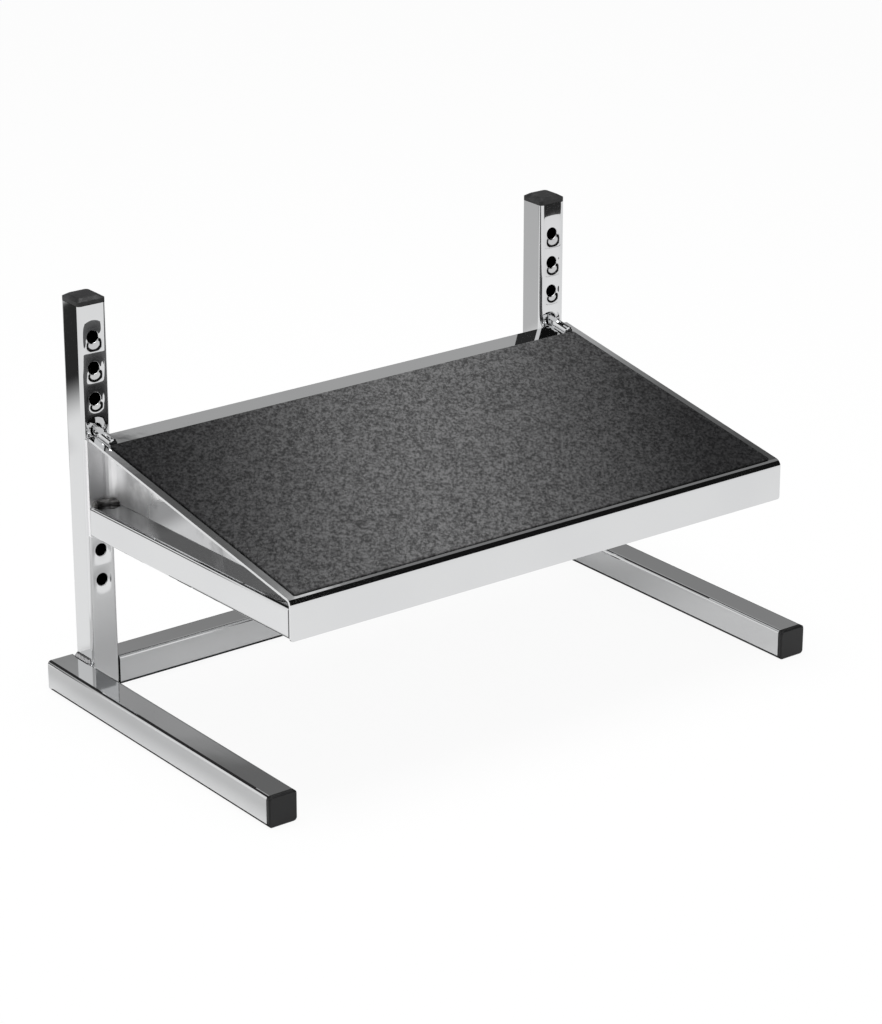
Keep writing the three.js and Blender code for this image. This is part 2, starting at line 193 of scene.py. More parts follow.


# chrome on drawn tube or rolled sheet; stretch draws the faint waves out along the piece; jointY is where an
# arm ends in its joint line, with painted shade in it and on the arm's top beside the web; a hollow one is
# bare inside, with painted shade there
def chrome(name, stretch=(1, 1, 1), roughness=0, wave=1, jointY=None, hollow=False):
    material, graph = newMaterial(name)
    spot = graph.place()
    across, back = graph.axes(spot)[:2]
    haze = graph.stepUp(graph.noise(spot, *plating["hazeNoise"]), *plating["hazeFrom"])
    specks = graph.stepUp(graph.noise(spot, *plating["speckNoise"]), *plating["speckFrom"])
    clouded = haze * plating["hazeShare"] + specks * plating["speckShare"]
    colour = graph.blend(clouded, plating["colour"], plating["hazeColour"])
    dullness = haze * plating["hazeRoughness"] + specks * plating["speckRoughness"]
    dullness = dullness + (plating["roughness"] + roughness)
    drawn = graph.place(stretch)
    height = graph.noise(drawn, *plating["waveNoise"])
    height = height + graph.noise(drawn, *plating["dentNoise"]) * plating["dentShare"]
    # painted shade: the bare inside of a hollow post is coloured near black
    if hollow:
        fromMiddle = graph.maths("ABSOLUTE", across)
        inside = graph.between(fromMiddle, *plating["insideAcross"], plating["insideEdge"])
        inside = inside * graph.between(back, *plating["insideBack"], plating["insideEdge"])
        colour = graph.blend(inside, colour, plating["insideShadeColour"])
        dullness = dullness + inside * plating["insideRoughness"]
    # painted shade: the arm's top beside the web, towards the back, is coloured darker
    if jointY is not None:
        facingUp = graph.axes(graph.wire("ShaderNodeNewGeometry", "Normal"))[2]
        shadedArmTop = graph.stepUp(facingUp, *plating["armTopShadeFacing"]) * graph.stepUp(back, *plating["armTopShadeFrom"])
        colour = graph.blend(shadedArmTop, colour, plating["armTopShadeColour"])
        # a dark joint line at the arm's front end, with painted shade in the seam
        joint = graph.stepDown(back, jointY - plating["jointLength"], jointY)
        colour = graph.blend(joint, colour, plating["jointShadeColour"])
        dullness = dullness + joint * plating["jointRoughness"]
    graph.surface(
        Base_Color=colour,
        Metallic=1.0,
        Roughness=dullness,
        Normal=graph.bump(height, plating["relief"] * wave),
    )
    return material


bracketFinish = {
    "colour": (0.82, 0.82, 0.825),
    "roughness": 0.05,
    "cloudNoise": (30, 4, 0.6),
    "cloudFrom": (0.52, 0.78),
    "cloudAndShadeColour": (0.52, 0.52, 0.525),
    "cloudShare": 0.85,
    "cloudRoughness": 0.1,
    "shadeNearBend": 0.22,  # painted shade on the web where it nears the bend, laid on as more cloud
    "shadeNearBendFrom": (0.03, 0.11),
    "shadeNearBendEnd": (0.117, 0.124),
    "bendRoughness": 0.34,
    "bendFrom": (0.05, 0.098),
    "strapLightColour": (0.95, 0.95, 0.955),
    "strapFrom": (0.102, 0.115),
    "grainNoise": (1500, 2),
    "grainStretch": (1, 0.2, 1),
    "grainRoughness": 0.04,
    "grainRelief": 0.3,
    "mottleNoise": (160, 3),
    "mottleShare": 0.15,
    "mottleRelief": 0.7,
    "relief": 0.04 * mm,
    "bow": (0, 0, -0.09),  # the sheet bows outwards a little at its top
}


# plating over sheet that was ground but not polished, so it mirrors only softly; its grey clouds are random
# tone with painted shade added near the bend, and its strap is painted lighter
def satinSheet():
    material, graph = newMaterial("satin_sheet")
    spot = graph.place()
    back = graph.axes(spot)[1]
    # painted shade near the bend, added to the random clouds
    shadeNearBend = graph.stepUp(back, *bracketFinish["shadeNearBendFrom"])
    shadeNearBend = shadeNearBend * graph.stepDown(back, *bracketFinish["shadeNearBendEnd"])
    cloudsAndShade = graph.noise(spot, *bracketFinish["cloudNoise"]) + shadeNearBend * bracketFinish["shadeNearBend"]
    cloudsAndShade = graph.stepUp(cloudsAndShade, *bracketFinish["cloudFrom"])
    grain = graph.noise(graph.place(bracketFinish["grainStretch"]), *bracketFinish["grainNoise"])
    mottle = graph.noise(spot, *bracketFinish["mottleNoise"])
    clouded = cloudsAndShade * bracketFinish["cloudShare"] + mottle * bracketFinish["mottleShare"]
    colour = graph.blend(clouded, bracketFinish["colour"], bracketFinish["cloudAndShadeColour"])
    # painted light: the strap is coloured lighter than the rest of the sheet
    onStrap = graph.stepUp(back, *bracketFinish["strapFrom"])
    dullness = cloudsAndShade * bracketFinish["cloudRoughness"]
    dullness = dullness + graph.stepUp(back, *bracketFinish["bendFrom"]) * bracketFinish["bendRoughness"]
    dullness = dullness + grain * bracketFinish["grainRoughness"] + bracketFinish["roughness"]
    bowed = graph.vectors("ADD", graph.wire("ShaderNodeNewGeometry", "Normal"), bracketFinish["bow"])
    height = mottle * bracketFinish["mottleRelief"] + grain * bracketFinish["grainRelief"]
    graph.surface(
        Base_Color=graph.blend(onStrap, colour, bracketFinish["strapLightColour"]),
        Metallic=1.0,
        Roughness=dullness,
        Normal=graph.bump(height, bracketFinish["relief"], 1.0, graph.vectors("NORMALIZE", bowed)),
    )
    return material


railWeldFinish = {
    "colour": (0.9, 0.9, 0.91),
    "duskyColour": (0.6, 0.6, 0.61),
    "noise": (420, 3),
    "roughness": 0.2,
    "noiseRoughness": 0.15,
    "relief": 0.1 * mm,
}


def weldMetal():
    material, graph = newMaterial("plated_weld")
    rough = graph.noise(graph.place(), *railWeldFinish["noise"])
    graph.surface(
        Base_Color=graph.blend(rough, railWeldFinish["colour"], railWeldFinish["duskyColour"]),
        Metallic=1.0,
        Roughness=rough * railWeldFinish["noiseRoughness"] + railWeldFinish["roughness"],
        Normal=graph.bump(rough, railWeldFinish["relief"]),
    )
    return material


bracketWeldFinish = {
    "scorchedColour": (0.05, 0.049, 0.048),
    "bareColour": (0.26, 0.257, 0.254),
    "bareFrom": (0.35, 0.65),
    "noise": (260, 3),
    "stretch": (0.35, 1, 1),
    "roughness": 0.2,
    "noiseRoughness": 0.3,
    "relief": 0.3 * mm,
}


# a bead that was left as the torch coloured it
def scorchedWeld():
    material, graph = newMaterial("scorched_weld")
    ripple = graph.noise(graph.place(bracketWeldFinish["stretch"]), *bracketWeldFinish["noise"])
    bare = graph.stepUp(ripple, *bracketWeldFinish["bareFrom"])
    graph.surface(
        Base_Color=graph.blend(bare, bracketWeldFinish["scorchedColour"], bracketWeldFinish["bareColour"]),
        Metallic=1.0,
        Roughness=ripple * bracketWeldFinish["noiseRoughness"] + bracketWeldFinish["roughness"],
        Normal=graph.bump(ripple, bracketWeldFinish["relief"]),
    )
    return material


plasticFinish = {
    "plugColours": ((0.008, 0.008, 0.0085), (0.024, 0.024, 0.025)),  # as moulded, and where it is rubbed
    "capColours": ((0.024, 0.024, 0.025), (0.055, 0.055, 0.056)),
    "roughness": 0.3,
    "rubbedNoise": (60, 3),
    "rubbedFrom": (0.5, 0.8),
    "rubbedRoughness": 0.15,
    "grainNoise": (1600, 2),
    "grainRoughness": 0.1,
    "relief": 0.04 * mm,
    "specular": 0.32,
}


def mouldedPlastic(name, colours):
    material, graph = newMaterial(name)
    spot = graph.place()
    grain = graph.noise(spot, *plasticFinish["grainNoise"])
    wearAndSheen = graph.stepUp(graph.noise(spot, *plasticFinish["rubbedNoise"]), *plasticFinish["rubbedFrom"])
    dullness = wearAndSheen * plasticFinish["rubbedRoughness"] + grain * plasticFinish["grainRoughness"]
    graph.surface(
        Base_Color=graph.blend(wearAndSheen, *colours),
        Roughness=dullness + plasticFinish["roughness"],
        Specular_IOR_Level=plasticFinish["specular"],
        Normal=graph.bump(grain, plasticFinish["relief"]),
    )
    return material


gritFinish = {
    "ground": (0.004, 0.004, 0.0045),
    "grain": (0.026, 0.026, 0.027),
    "sheenGround": (0.045, 0.045, 0.0455),
    "sheenGrain": (0.17, 0.17, 0.172),
    "spark": (0.34, 0.34, 0.345),
    "grainStretch": 1.7,
    "grainTurn": radians(-37),
    "coarseNoise": (460, 2, 0.6),
    "coarseShare": 0.68,
    "fineNoise": (1150, 1),
    "fineShare": 0.12,
    "wornNoise": (190, 2),
    "wornShare": 0.32,
    "grainFrom": (0.4, 0.75),
    "sparkFrom": (0.7, 0.76),
    "sparkShare": 0.1,
    "sheenSparkShare": 0.4,
    "sheenSlant": 0.65,  # the painted sheen runs from the rear right of the middle to the front left
    "sheenReach": 0.30,
    "roughness": 0.9,
    "grainGloss": 0.12,
    "specular": 0.12,
    "fineRelief": 0.4,
    "relief": 0.4 * mm,
    "reliefStrength": 0.6,
}


# a sheet of fine dark grit with lighter grains among it, with a painted sheen that makes it greyer across the
# middle, and painted glints that gather there
def gritSurface():
    material, graph = newMaterial("anti_slip_grit")
    spot = graph.place()
    across, back = graph.axes(spot)[:2]
    # painted sheen: a slanted band across the middle is coloured greyer
    away = graph.maths("ABSOLUTE", across - back * gritFinish["sheenSlant"])
    wearAndSheen = graph.stepDown(away, 0, gritFinish["sheenReach"])
    sockets = {
        "Vector": spot,
        "Rotation": (0, 0, gritFinish["grainTurn"]),
        "Scale": (1, gritFinish["grainStretch"], 1),
    }
    drawn = graph.wire("ShaderNodeMapping", 0, {"vector_type": "TEXTURE"}, sockets)
    coarse = graph.noise(drawn, *gritFinish["coarseNoise"])
    fine = graph.noise(drawn, *gritFinish["fineNoise"])
    worn = graph.noise(drawn, *gritFinish["wornNoise"])
    grains = coarse * gritFinish["coarseShare"] + fine * gritFinish["fineShare"]
    grains = graph.stepUp(grains + worn * gritFinish["wornShare"], *gritFinish["grainFrom"])
    dark = graph.blend(wearAndSheen, gritFinish["ground"], gritFinish["sheenGround"])
    light = graph.blend(wearAndSheen, gritFinish["grain"], gritFinish["sheenGrain"])
    # painted glints, more of them in the painted sheen
    sparks = graph.stepUp(fine, *gritFinish["sparkFrom"])
    sparks = sparks * (wearAndSheen * gritFinish["sheenSparkShare"] + gritFinish["sparkShare"])
    height = coarse + fine * gritFinish["fineRelief"]
    graph.surface(
        Base_Color=graph.blend(sparks, graph.blend(grains, dark, light), gritFinish["spark"]),
        Roughness=gritFinish["roughness"] - grains * gritFinish["grainGloss"],
        Specular_IOR_Level=gritFinish["specular"],
        Normal=graph.bump(height, gritFinish["relief"], gritFinish["reliefStrength"]),
    )
    return material


plugPlastic = mouldedPlastic("plug_plastic", plasticFinish["plugColours"])

# by the end of a piece's name
finishes = {
    "upright": chrome("chrome_tube_upright", stretch=(1, 1, 0.25), hollow=True),
    "base_rail": chrome("chrome_tube_along", stretch=(1, 0.25, 1)),
    "arm": chrome("chrome_arm", stretch=(1, 0.25, 1), jointY=-146.2 * mm),
    "crossbar": chrome("chrome_tube_across", stretch=(0.25, 1, 1)),
    "side_bracket": satinSheet(),
    "top_plate": chrome("chrome_sheet", roughness=0.01, wave=1.6),
    "hook_rod": chrome("chrome_rod", stretch=(1, 0.5, 1), roughness=0.03, wave=1.5),
    "rail_weld": weldMetal(),
    "bracket_weld": scorchedWeld(),
    "front_plug": plugPlastic,
    "rear_plug": plugPlastic,
    "cap": mouldedPlastic("cap_plastic", plasticFinish["capColours"]),
    "anti_slip_mat": gritSurface(),
}

shading = {
    "sharpFrom": 32,  # degrees between two faces
    "flatWeight": 100,
}


def finishFor(nodeName):
    ends = [end for end in finishes if nodeName.endswith(end)]
    return finishes[max(ends, key=len)]


# rounded faces are shaded round and flat ones stay flat; the shapes themselves stay as they are
def smoothShading(piece, sharpFrom):
    piece.data.shade_smooth()
    piece.data.set_sharp_from_angle(angle=radians(sharpFrom))
    weighting = piece.modifiers.new("flat faces first", "WEIGHTED_NORMAL")
    weighting.mode = "FACE_AREA"
    weighting.weight = shading["flatWeight"]
    weighting.keep_sharp = True


for nodeName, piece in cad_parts.items():
    piece.data.materials.clear()
    piece.data.materials.append(finishFor(nodeName))
    smoothShading(piece, shading["sharpFrom"])
print("finishes made:", len(bpy.data.materials))


# Pieces built in mesh code

def addObject(name, data):
    made = bpy.data.objects.new(name, data)
    bpy.context.scene.collection.objects.link(made)
    return made


class Skin:  # gathers faces, and joins those that meet
    def __init__(self):
        self.numbers = {}
        self.spots = []
        self.faces = []

    def corner(self, spot):
        key = tuple(round(value, 7) for value in spot)
        if key not in self.numbers:
            self.numbers[key] = len(self.spots)
            self.spots.append(spot)
        return self.numbers[key]

    def face(self, *spots):
        corners = [self.corner(spot) for spot in spots]
        corners = [here for here, before in zip(corners, corners[-1:] + corners[:-1]) if here != before]
        if len(corners) > 2 and len(set(corners)) == len(corners):  # a face folded flat on itself is left out
            self.faces.append(corners)

    def rows(self, rows, closed=False):
        for first, second in zip(rows, rows[1:]):
            for here in range(len(first) if closed else len(first) - 1):
                following = (here + 1) % len(first)
                self.face(first[here], first[following], second[following], second[here])

    def piece(self, name, material, body, slot, node=None):
        mesh = bpy.data.meshes.new(name)
        mesh.from_pydata(self.spots, [], self.faces)
        made = bmesh.new()
        made.from_mesh(mesh)
        bmesh.ops.recalc_face_normals(made, faces=made.faces)
        made.to_mesh(mesh)
        made.free()
        mesh.materials.append(material)
        piece = addObject(name, mesh)
        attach(piece, body)
        if node:
            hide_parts(node)
        return piece


# A post: square tube whose front wall is pressed in round each hole

post = {
    "wall": 1.6 * mm,
    "corner": 3 * mm,
    "cornerSteps": 6,
    "holes": 9,
    "pitch": 25.4 * mm,
    "topHoleDrop": 26.5 * mm,
    "hole": 5.16 * mm,  # its radius
    "edge": 0.4 * mm,
    "edgeTurns": (30, 60, 90),
    "dishReach": 16.5 * mm,
    "dishRoll": 8.8 * mm,  # how far in its lip takes to turn down
    "dishSlope": 0.172,
    "sideFade": 3.4 * mm,
    "steps": 14,
    "rings": (1, 0.86, 0.72, 0.6, 0.49, 0.39, 0.3, 0.22, 0.15, 0.09, 0.04, 0),  # from the border to the hole
    "sharpFrom": 40,
}


def dish(x, z, flat):  # how far the wall is pressed in at a place from the hole's middle
    inside = max(post["dishReach"] - hypot(x, z), 0)
    rolled = min(inside, post["dishRoll"])
    depth = rolled * rolled / post["dishRoll"] / 2 + inside - rolled
    beside = min((flat - abs(x)) / post["sideFade"], 1)
    return depth * post["dishSlope"] * beside * beside * (3 - 2 * beside)


# the section behind the front wall, from its right edge round the back to its left edge
def postSection(half, flat):
    section = [(flat, -half)]
    for quarter, (x, y) in enumerate(((flat, -flat), (flat, flat), (-flat, flat), (-flat, -flat))):
        for step in range(post["cornerSteps"] + 1):
            turn = radians(90) * (quarter - 1 + step / post["cornerSteps"])
            section.append((x + (half - flat) * cos(turn), y + (half - flat) * sin(turn)))
    return section[1:]


def buildPost(side):
    low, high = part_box(side + "_upright")
    half = (high.x - low.x) / 2
    flat = half - post["corner"]
    wall, steps, reach = post["wall"], post["steps"], post["pitch"] / 2
    middleX, middleY, height = (low.x + high.x) / 2, (low.y + high.y) / 2, high.z
    across = [-flat + 2 * flat * step / steps for step in range(steps + 1)]
    holes = [height - post["topHoleDrop"] - hole * post["pitch"] for hole in range(post["holes"])][::-1]
    levels, cells = [0.0], []
    for number, hole in enumerate(holes):  # the end cells are longer, so that their dishes end inside them
        bottom = -post["dishReach"] if number == 0 else -reach
        top = post["dishReach"] if number == len(holes) - 1 else reach
        upward = [bottom + (top - bottom) * step / steps for step in range(steps + 1)]
        levels += [hole + z for z in (upward[1:] if number else upward)]
        border = [(x, bottom) for x in across[:-1]] + [(flat, z) for z in upward[:-1]]
        border += [(-x, top) for x in across[:-1]] + [(-flat, z) for z in upward[:0:-1]]
        cells.append((hole, border))
    levels.append(height)

    # one ring round a hole, at a share of the way from a circle out to the cell's border
    def ringRound(hole, border, circle, share, back):
        ring = []
        for x, z in border:
            toCircle = circle / hypot(x, z)
            x, z = (value * (toCircle + (1 - toCircle) * share) for value in (x, z))
            ring.append((middleX + x, middleY - half + back + dish(x, z, flat), hole + z))
        return ring

    skin = Skin()
    outer, inner = postSection(half, flat), postSection(half - wall, flat)
    for section in (outer, inner):
        skin.rows([[(middleX + x, middleY + y, z) for x, y in section] for z in levels])
    for y in (middleY - half, middleY - half + wall):
        for ends in (levels[:2], levels[-2:]):
            skin.rows([[(middleX + x, y, z) for x in across] for z in ends])
    for z in (0.0, height):
        outside = [(middleX + x, middleY - half, z) for x in across[1:-1]]
        outside += [(middleX + x, middleY + y, z) for x, y in outer]
        inside = [(middleX + x, middleY - half + wall, z) for x in across[1:-1]]
        inside += [(middleX + x, middleY + y, z) for x, y in inner]
        skin.rows([outside, inside], closed=True)
    for hole, border in cells:
        rows = [ringRound(hole, border, post["hole"] + post["edge"], share, 0) for share in post["rings"]]
        for turn in post["edgeTurns"]:
            circle = post["hole"] + post["edge"] * (1 - sin(radians(turn)))
            rows.append(ringRound(hole, border, circle, 0, post["edge"] * (1 - cos(radians(turn)))))
        rows += [ringRound(hole, border, post["hole"], share, wall) for share in post["rings"][::-1]]
        skin.rows(rows, closed=True)
    return skin.piece(side + "_post", finishes["upright"], "frame", "tubing", side + "_upright")


for side in ("left", "right"):
    smoothShading(buildPost(side), post["sharpFrom"])
print("posts built")


# The scorched weld along the foot of each bracket's strap, turning the corner into its web

bead = {
    "radius": 3.5 * mm,
    "proud": 1.1 * mm,  # how far the bead's middle lies out from the strap and above the arm
    "armPitch": radians(1.25),
    "strap": 3.2 * mm,
    "inset": 2.2 * mm,
    "turn": 8 * mm,
    "alongSteps": 16,
    "roundSteps": 16,
    "taper": (0.3, 0.62, 0.85),
    "lumps": 0.2,
    "lumpSize": 5 * mm,
    "lumpSpread": 0.6,  # how much the lumps differ round the bead
    "sharpFrom": 60,
}


def buildBead(side):
    toRight = 1 if side == "left" else -1
    armLow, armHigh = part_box(side + "_arm")
    bracketLow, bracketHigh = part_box(side + "_side_bracket")
    outer = armLow.x if side == "left" else armHigh.x
    inner = (bracketHigh.x if side == "left" else bracketLow.x) - toRight * (bead["strap"] + bead["proud"])
    back = bracketHigh.y - bead["strap"] - bead["proud"]
    start = outer + toRight * bead["inset"]
    straight = abs(inner - start) - bead["turn"]
    steps, turnSteps = bead["alongSteps"], bead["alongSteps"] // 2
    path = [(start + toRight * straight * step / steps, back, 0) for step in range(steps)]
    for step in range(turnSteps + 1):
        turn = radians(90) * step / turnSteps
        x = start + toRight * (straight + bead["turn"] * sin(turn))
        path.append((x, back - bead["turn"] * (1 - cos(turn)), turn))
    rings = []
    for number, (x, y, turn) in enumerate(path):
        fromEnd = min(number, len(path) - 1 - number)
        thickness = bead["radius"] * (bead["taper"][fromEnd] if fromEnd < len(bead["taper"]) else 1)
        height = armHigh.z - (y - armLow.y) * sin(bead["armPitch"]) + bead["proud"]
        ring = []
        for step in range(bead["roundSteps"]):
            angle = radians(360) * step / bead["roundSteps"]
            around = Vector((cos(angle), sin(angle), 0)) * bead["lumpSpread"]
            lump = noise.noise(Vector((x, y, 0)) / bead["lumpSize"] + around)
            radius = thickness * (1 + bead["lumps"] * lump)
            out = radius * cos(angle)
            ring.append((x - toRight * out * sin(turn), y - out * cos(turn), height + radius * sin(angle)))
        rings.append(ring)
    skin = Skin()
    skin.rows(rings, closed=True)
    skin.face(*rings[0])
    skin.face(*rings[-1])
    return skin.piece(side + "_bracket_weld", finishes["bracket_weld"], "platform", "weld")


for side in ("left", "right"):
    smoothShading(buildBead(side), bead["sharpFrom"])
print("bracket welds built")


# The mat: a sheet with its grit standing up in low, uneven relief

mat = {
    "pitch": radians(9.5),
    "thickness": 1.2 * mm,
    "corner": 1.6 * mm,
    "rounding": 0.4 * mm,
    "step": 1.6 * mm,
    "border": (0, 0.12 * mm, 0.4 * mm, 1.2 * mm),
    "lumps": 0.13 * mm,
    "lumpSize": 3.1 * mm,
    "grit": 0.07 * mm,
    "gritSize": 1.5 * mm,
    "gritLayer": 0.5,  # taken from another layer of the noise than the lumps
    "sharpFrom": 50,
}


def matRelief(u, v):
    lumps = noise.noise(Vector((u, v, 0)) / mat["lumpSize"]) * mat["lumps"]
    return lumps + noise.noise(Vector((u, v, mat["gritLayer"])) / mat["gritSize"]) * mat["grit"]


# places along one side of the mat, close together where its edge rolls over
def matPlaces(half):
    inside = half - mat["border"][-1]
    count = round(2 * inside / mat["step"])
    ends = [-half + inset for inset in mat["border"][:-1]]
    middle = [-inside + 2 * inside * step / count for step in range(count + 1)]
    return ends + middle + [-place for place in ends[::-1]]


def buildMat():
    low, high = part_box("anti_slip_mat")
    slope = Vector((0, cos(mat["pitch"]), sin(mat["pitch"])))
    upright = Vector((0, -sin(mat["pitch"]), cos(mat["pitch"])))
    halfWidth = (high.x - low.x) / 2
    halfLength = ((high.y - low.y) - mat["thickness"] * sin(mat["pitch"])) / cos(mat["pitch"]) / 2
    middle = (low + high) / 2 - upright * (mat["thickness"] / 2)
    corner, rounding = mat["corner"], mat["rounding"]

    def spot(u, v, height):
        return tuple(middle + Vector((u, 0, 0)) + slope * v + upright * height)

    def onTop(u, v):
        overU, overV = abs(u) - (halfWidth - corner), abs(v) - (halfLength - corner)
        inset = min(corner - overU, corner - overV)
        if overU > 0 and overV > 0:
            away = hypot(overU, overV)
            inset = max(corner - away, 0)
            if away > corner:
                turn = atan2(overV, overU)
                u = (halfWidth - corner + corner * cos(turn)) * (1 if u > 0 else -1)
                v = (halfLength - corner + corner * sin(turn)) * (1 if v > 0 else -1)
        height = mat["thickness"] - mat["lumps"] / 2
        if inset < rounding:
            height += sqrt(rounding ** 2 - (rounding - inset) ** 2) - rounding
        return u, v, height + matRelief(u, v) * min(inset / mat["border"][-1], 1)

    across, along = matPlaces(halfWidth), matPlaces(halfLength)
    places = [[onTop(u, v) for u in across] for v in along]
    skin = Skin()
    skin.rows([[spot(*place) for place in row] for row in places])
    rim = places[0][:-1] + [row[-1] for row in places[:-1]]
    rim += places[-1][:0:-1] + [row[0] for row in places[:0:-1]]
    under = [spot(u, v, 0) for u, v, height in rim]
    skin.rows([[spot(*place) for place in rim], under], closed=True)
    below = spot(0, 0, 0)
    for here, following in zip(under, under[1:] + under[:1]):
        skin.face(here, following, below)
    return skin.piece("grit_mat", finishes["anti_slip_mat"], "platform", "mat", "anti_slip_mat")


smoothShading(buildMat(), mat["sharpFrom"])
print("mat built")


# Floor, surroundings and lamp, in metres. The pairs for the sheet are where its soft edges start and end.

studio = {
    "floorSize": 60,
    "floorDrop": 0.2 * mm,
    "floorColour": (0.96, 0.96, 0.96),
    "whiteShare": 0.92,  # how much of the floor is plain white to the camera; the rest keeps the shadow
    "mirrorShares": (0.08, 0.5),  # the same for mirrors, by the crossbar and further out
    "crossbarY": 0.11,
    "furtherOut": (0.02, 0.18),
    "toLeft": (-0.55, -0.49),
    "sheetEnd": (0.60, 0.66),  # where the white sheet ends behind the object, for mirrors
    "sheetEndLeft": (0.68, 0.81),
    "sheetLeftAgain": (1.01, 1.05),
    "sheetFront": (-1.22, -1.15),
    "sheetFrontAgain": (-2.25, -2.1),
    "beyondMiddle": 0.58,  # how light the room's floor is beyond the sheet
    "beyondLeft": 0.03,
    "beyondFront": 0.01,
    "world": 0.62,
    "keyWatts": 24,
    "keyPlace": (-0.15, 0.05, 2.1),
    "keyTarget": (0, 0, 0.1),
    "keySize": 1.3,
}

# dark cards on the sheet and painted shade on it, shown only in the plating: left, right, front and back
# edge, softness, shade
cards = [
    (0.82, 0.99, -0.80, -0.675, 0.02, 0.03),
    # painted shade on the sheet beside the left rail
    (-0.40, -0.268, -0.22, 0.22, 0.02, 0.68),
    (-0.2705, -0.2605, -0.157, 0.157, 0.001, 0.06),  # the shade in the corner under each tube
    (0.2375, 0.2470, -0.157, 0.157, 0.001, 0.06),
    (-0.24, 0.24, 0.1262, 0.1360, 0.001, 0.06),
]


# white to the camera with a soft shadow left in; mirrors see where the sheet ends round the object
def floorSurface():
    material, graph = newMaterial("floor")
    inMirror = graph.wire("ShaderNodeLightPath", "Is Glossy Ray")
    inCamera = graph.wire("ShaderNodeLightPath", "Is Camera Ray")
    across, back = graph.axes(graph.wire("ShaderNodeTexCoord", "Object"))[:2]
    toLeft = graph.stepDown(across, *studio["toLeft"])
    behind = graph.stepUp(back, *studio["sheetEnd"]) * (1 - toLeft)
    behindLeft = graph.stepUp(back, *studio["sheetEndLeft"]) * toLeft
    behindLeft = behindLeft * graph.stepDown(back, *studio["sheetLeftAgain"])
    before = graph.stepDown(back, *studio["sheetFront"]) * graph.stepUp(back, *studio["sheetFrontAgain"])
    parts = [
        (behind, studio["beyondMiddle"]),
        (behindLeft, studio["beyondLeft"]),
        (before, studio["beyondFront"]),
    ]
    for left, right, near, far, soft, shade in cards:
        inside = graph.between(across, left, right, soft) * graph.between(back, near, far, soft)
        parts.append((inside, shade))
    colour = studio["floorColour"]
    for share, shade in parts:
        colour = graph.paint(colour, share * inMirror, shade)
    sheet = graph.wire("ShaderNodeBsdfDiffuse", 0, None, {"Color": colour})
    shown = graph.blend(inMirror, (1, 1, 1), colour)
    white = graph.wire("ShaderNodeEmission", 0, None, {"Color": shown, "Strength": 1.0})
    byCrossbar, outside = studio["mirrorShares"]
    away = graph.stepUp(graph.maths("ABSOLUTE", back - studio["crossbarY"]), *studio["furtherOut"])
    share = inCamera * studio["whiteShare"] + inMirror * (away * (outside - byCrossbar) + byCrossbar)
    graph.node("ShaderNodeOutputMaterial", None, {"Surface": graph.mixShaders(share, sheet, white)})
    return material


def buildFloor():
    mesh = bpy.data.meshes.new("floor")
    half = studio["floorSize"] / 2
    corners = [(-half, -half, 0), (half, -half, 0), (half, half, 0), (-half, half, 0)]
    mesh.from_pydata(corners, [], [(0, 1, 2, 3)])
    mesh.materials.append(floorSurface())
    floor = addObject("floor", mesh)
    floor.location.z = -studio["floorDrop"]


# The room that the plating mirrors. Its places are directions: each number is how far a line one metre long
# goes across, back or up, and a pair is where a soft edge starts and ends.
room = {
    # how light each quarter is, by how far up
    "backRight": [
        (0, 0.10), (0.3, 0.115), (0.358, 0.115), (0.366, 0.26), (0.395, 0.28), (0.41, 0.37),
        (0.4262, 0.37), (0.4278, 0.16), (0.50, 0.17), (0.52, 0.46), (0.61, 0.46), (0.64, 0.1),
    ],
    "backLeft": [(0, 0.10), (0.27, 0.17), (0.33, 0.2), (0.36, 0.92), (0.47, 0.95), (0.52, 0.04), (1, 0.04)],
    "frontLeft": [(0, 0.03), (0.26, 0.04), (0.32, 0.25), (0.38, 0.35), (0.46, 1), (1, 1)],
    "frontMiddle": [(0, 0.01), (0.02, 0.01), (0.05, 1), (1, 1)],
    "frontRight": [(0, 0.008), (0.80, 0.008), (0.9, 1)],
    # where the quarters meet
    "backHalf": (-0.06, 0.02),
    "backMeets": (-0.2, 0.2),
    "frontLeftMeets": (-0.2, 0.0),
    "frontRightMeets": (0.495, 0.512),
    # the grey that fills the back right quarter, short of a slanted line
    "slant": 2,
    "aheadEnd": (1.715, 1.735),
    "aheadShade": 0.24,
    # a dark panel to the right
    "darkSide": (0.01, 0.06),
    "darkFoot": (0.45, 0.5),
    "darkTop": (0.58, 0.6),
    "darkShade": 0.02,
    "darkShare": 0.68,
    # a panel higher up, lighter at its right end
    "highFoot": (0.584, 0.592),
    "highEnd": (0.52, 0.53),
    "highLighter": (0.5, 0.528),
    "highShades": (0.12, 0.5),  # in the main, and at its right end
    # a narrow bright strip at the corner of the room
    "stripLeft": (0.5215, 0.5235),
    "stripRight": (0.522, 0.536),
    "stripEnd": (1.711, 1.717),
    "stripShade": 0.98,
    # a low white area at the back left
    "lowSlant": 0.75,
    "lowEnd": (-0.04, -0.02),
    "lowTop": (0.42, 0.46),
    "lowShade": 0.95,
    # a dark ceiling behind
    "ceilingFoot": (0.43, 0.46),
    "ceilingLeft": (-0.42, -0.36),
    "ceilingRight": (0.435, 0.455),
    "ceilingShade": 0.03,
}


